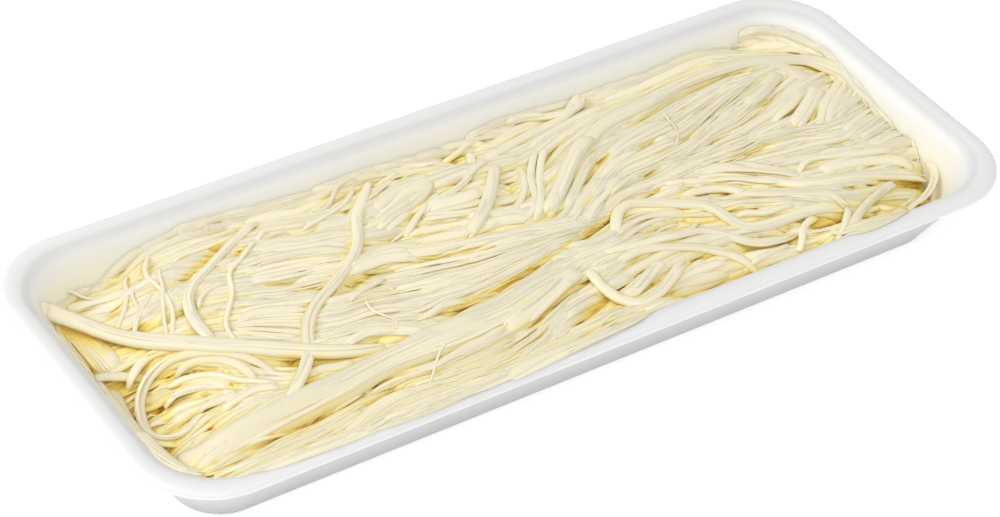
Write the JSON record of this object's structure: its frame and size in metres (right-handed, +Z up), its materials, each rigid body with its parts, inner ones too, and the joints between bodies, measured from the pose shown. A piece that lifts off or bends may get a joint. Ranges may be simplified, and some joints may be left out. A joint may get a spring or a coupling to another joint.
{
  "type": "tray of pulled string cheese",
  "caption": "Long shallow foam tray with rounded corners and an outward lip, filled with a loose heap of pulled ivory cheese strands.",
  "frame": {"origin": "middle of the tray's underside, on the surface it stands on", "axes": "+X along the tray, +Y across it, +Z up"},
  "size_m": [0.27, 0.1094, 0.024],
  "materials": {
    "white_foam": "smooth white expanded foam with a faint bead skin, soft satin",
    "ivory_cheese": "moist pulled-curd cheese, pale ivory with golden creases, soft sheen along the fibres"
  },
  "bodies": {
    "root": {"foam_tray": "white_foam", "cheese_strands": "ivory_cheese"}
  },
  "joints": []
}
